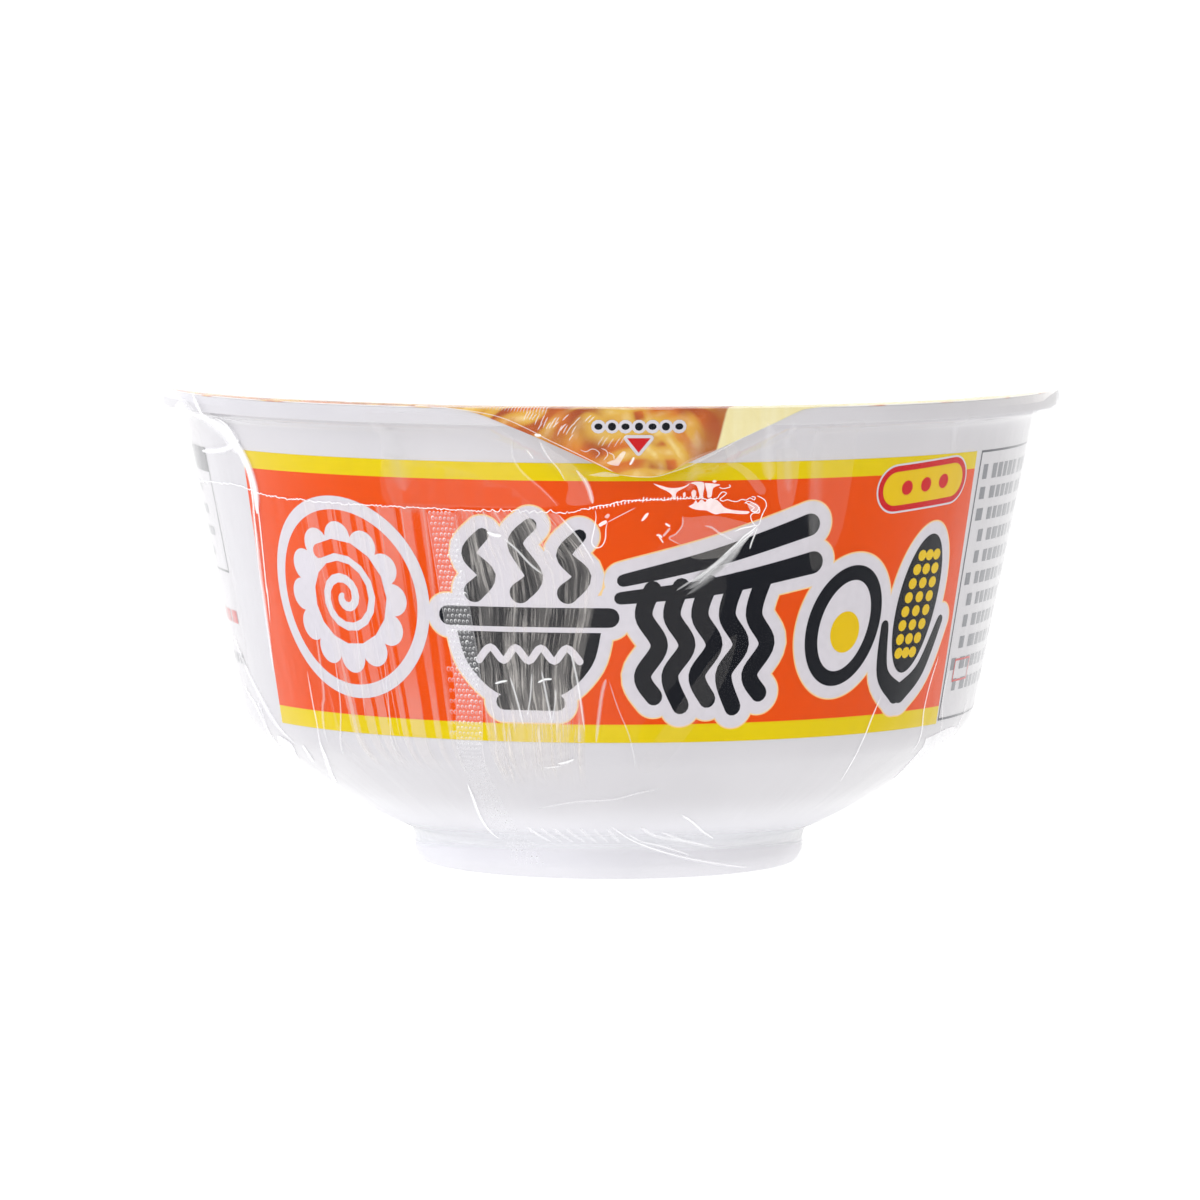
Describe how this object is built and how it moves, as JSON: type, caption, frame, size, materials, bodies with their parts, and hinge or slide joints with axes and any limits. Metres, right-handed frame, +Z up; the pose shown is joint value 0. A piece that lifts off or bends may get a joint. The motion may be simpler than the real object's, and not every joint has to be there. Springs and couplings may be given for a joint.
{
  "type": "instant noodle bowl",
  "caption": "Shut disposable instant noodle bowl on a low foot, with a sealed paper lid, a pull tab folded down over the rim, and clear shrink film round the whole.",
  "frame": {"origin": "on the bowl's axis, in the plane of the foot that it stands on", "axes": "+Z up along the bowl's axis; -Y to the front, where the pull tab hangs, its middle 3.8 degrees round towards +X"},
  "size_m": [0.1428, 0.1428, 0.0758],
  "materials": {
    "bowl": "white moulded plastic, satin, printed round the wall",
    "lid": "coated paper with a glossy print",
    "film": "clear shrink film, glossy and finely creased"
  },
  "bodies": {
    "root": {"bowl": "bowl", "lid": "lid", "film": "film"}
  },
  "joints": []
}
